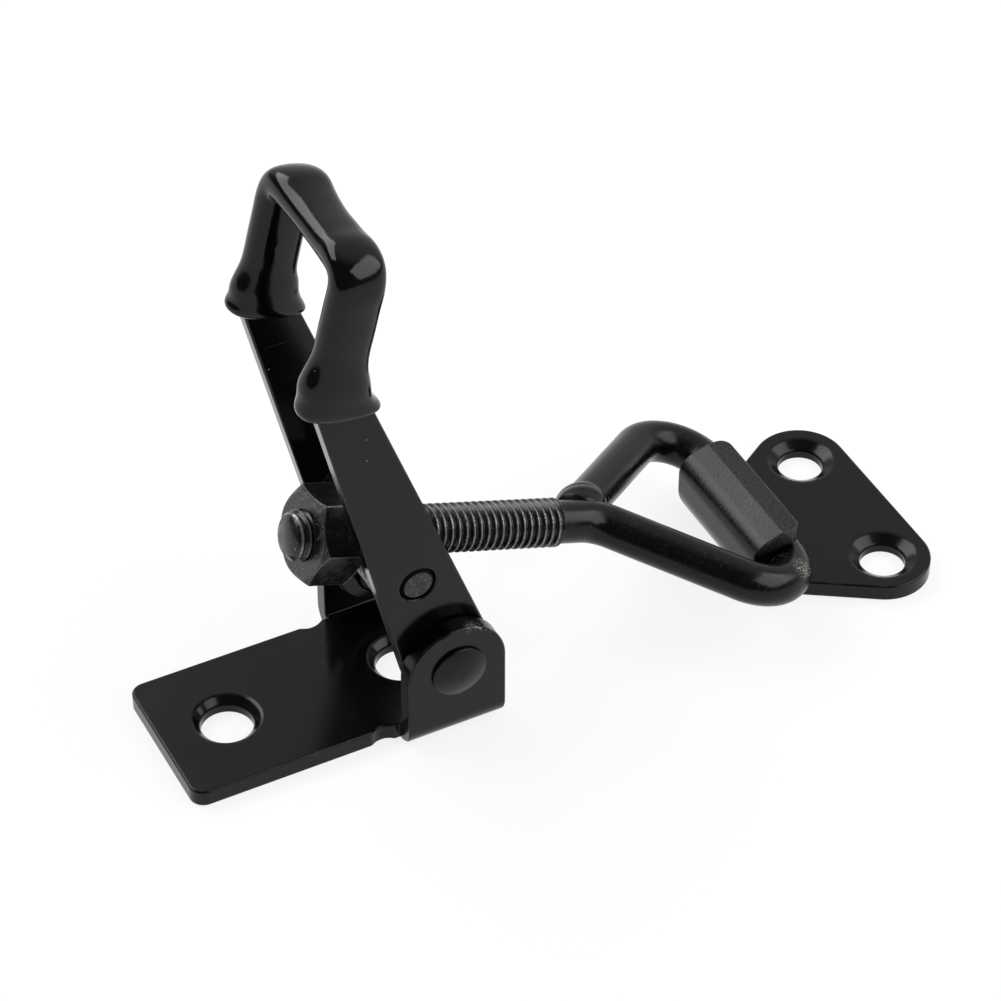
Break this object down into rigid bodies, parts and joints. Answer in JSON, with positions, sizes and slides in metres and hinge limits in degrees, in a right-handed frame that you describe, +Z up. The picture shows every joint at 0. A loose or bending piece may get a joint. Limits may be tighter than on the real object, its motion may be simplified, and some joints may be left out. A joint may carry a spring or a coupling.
{
  "type": "over centre toggle latch",
  "caption": "Adjustable over-centre toggle latch: folded base, forked handle with dipped grip, threaded hook bolt with a welded wire loop, and a hooked catch plate.",
  "frame": {"origin": "midway between the two screw holes of the base bracket, on its underside, which lies on the mounting face", "axes": "+X from the base bracket towards the catch plate, along the pull; +Y across the latch, along the handle's pivot; +Z up out of the mounting face"},
  "size_m": [0.0977, 0.0348, 0.0728],
  "materials": {
    "base_finish": "semi-gloss black coat on folded steel sheet",
    "rivet_finish": "semi-gloss black coat",
    "handle_finish": "semi-gloss black coat on steel sheet",
    "grip_vinyl": "glossy black dipped vinyl",
    "trunnion_finish": "satin black coat, worn at the ends",
    "bolt_finish": "glossy black coat on steel wire",
    "nut_finish": "blackened, slightly gritty",
    "catch_finish": "semi-gloss black coat on steel sheet"
  },
  "bodies": {
    "base": {"base_bracket": "base_finish", "near_pivot_rivet": "rivet_finish", "far_pivot_rivet": "rivet_finish"},
    "handle": {"handle": "handle_finish", "grip_sleeve": "grip_vinyl"},
    "trunnion": {"trunnion": "trunnion_finish"},
    "bolt": {"hook_bolt": "bolt_finish"},
    "nut": {"adjusting_nut": "nut_finish"},
    "catch": {"catch_plate": "catch_finish"}
  },
  "joints": [
    {"name": "handle_swing", "type": "hinge", "parent": "base", "child": "handle", "pos_m": [0.01275, 0, 0.01037], "axis": [0, -1, 0], "range_deg": [0, 78]},
    {"name": "trunnion_turn", "type": "hinge", "parent": "handle", "child": "trunnion", "pos_m": [0.00893, 0, 0.02345], "axis": [0, -1, 0], "range_deg": [-65, 1]},
    {"name": "nut_turn", "type": "hinge", "parent": "trunnion", "child": "nut", "pos_m": [0.00893, 0, 0.02345], "axis": [-0.9433, 0, 0.3319], "range_deg": [-740, 2900]},
    {"name": "bolt_slide", "type": "slide", "parent": "trunnion", "child": "bolt", "axis": [-0.9433, 0, 0.3319], "range_m": [-0.00205, 0.00805]},
    {"name": "catch_pivot", "type": "hinge", "parent": "bolt", "child": "catch", "pos_m": [0.05892, 0, 0.00586], "axis": [0, -1, 0], "range_deg": [-17, 1]}
  ],
  "couplings": [
    {"joint": "trunnion_turn", "follows": "handle_swing", "ratio": -0.7998},
    {"joint": "catch_pivot", "follows": "handle_swing", "ratio": -0.2002},
    {"joint": "nut_turn", "follows": "bolt_slide", "rad_per_m": 6283.2}
  ]
}
